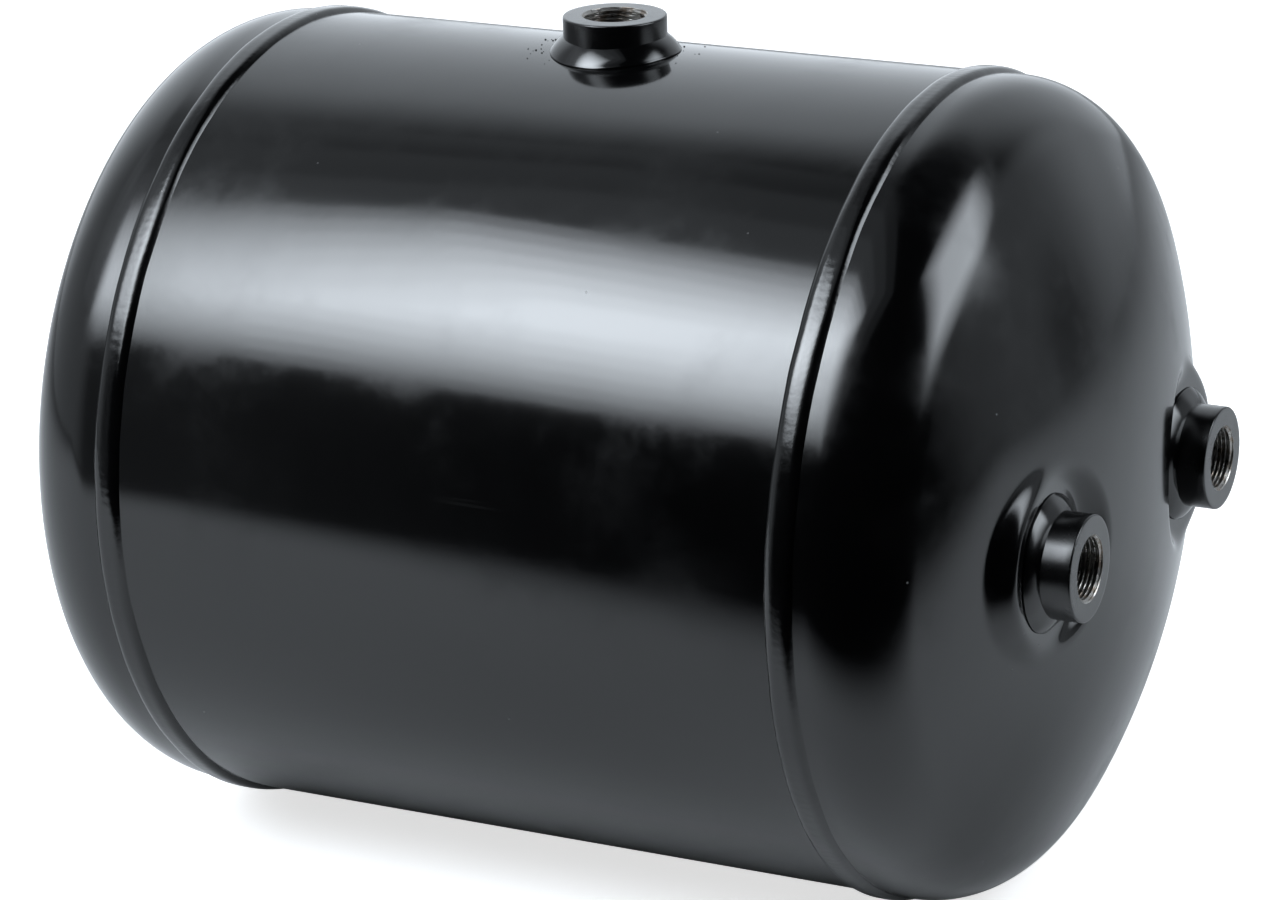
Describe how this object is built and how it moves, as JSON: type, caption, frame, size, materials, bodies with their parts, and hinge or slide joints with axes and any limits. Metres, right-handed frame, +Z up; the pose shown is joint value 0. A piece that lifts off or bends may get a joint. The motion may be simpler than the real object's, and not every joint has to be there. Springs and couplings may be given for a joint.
{
  "type": "compressed air tank",
  "caption": "Small welded steel air reservoir: a round shell lying on its side between dished heads, with threaded ports on top and in one head.",
  "frame": {"origin": "on the floor under the middle of the shell, where the crests of the two girth welds rest, directly below the vessel's axis and the top port", "axes": "+X along the vessel's axis towards the head with the ports, +Z up through the top port, +Y completes the right hand: the front port is on the -Y side and the rear port on the +Y side"},
  "size_m": [0.385, 0.28, 0.29],
  "materials": {
    "black_paint": "gloss",
    "boss_steel": "satin"
  },
  "bodies": {
    "root": {"shell": "black_paint", "shell_seam_weld": "black_paint", "plain_head": "black_paint", "ported_head": "black_paint", "plain_end_girth_weld": "black_paint", "ported_end_girth_weld": "black_paint", "top_port_boss": "boss_steel", "top_port_weld": "black_paint", "front_port_boss": "boss_steel", "front_port_weld": "black_paint", "rear_port_boss": "boss_steel", "rear_port_weld": "black_paint"}
  },
  "joints": []
}
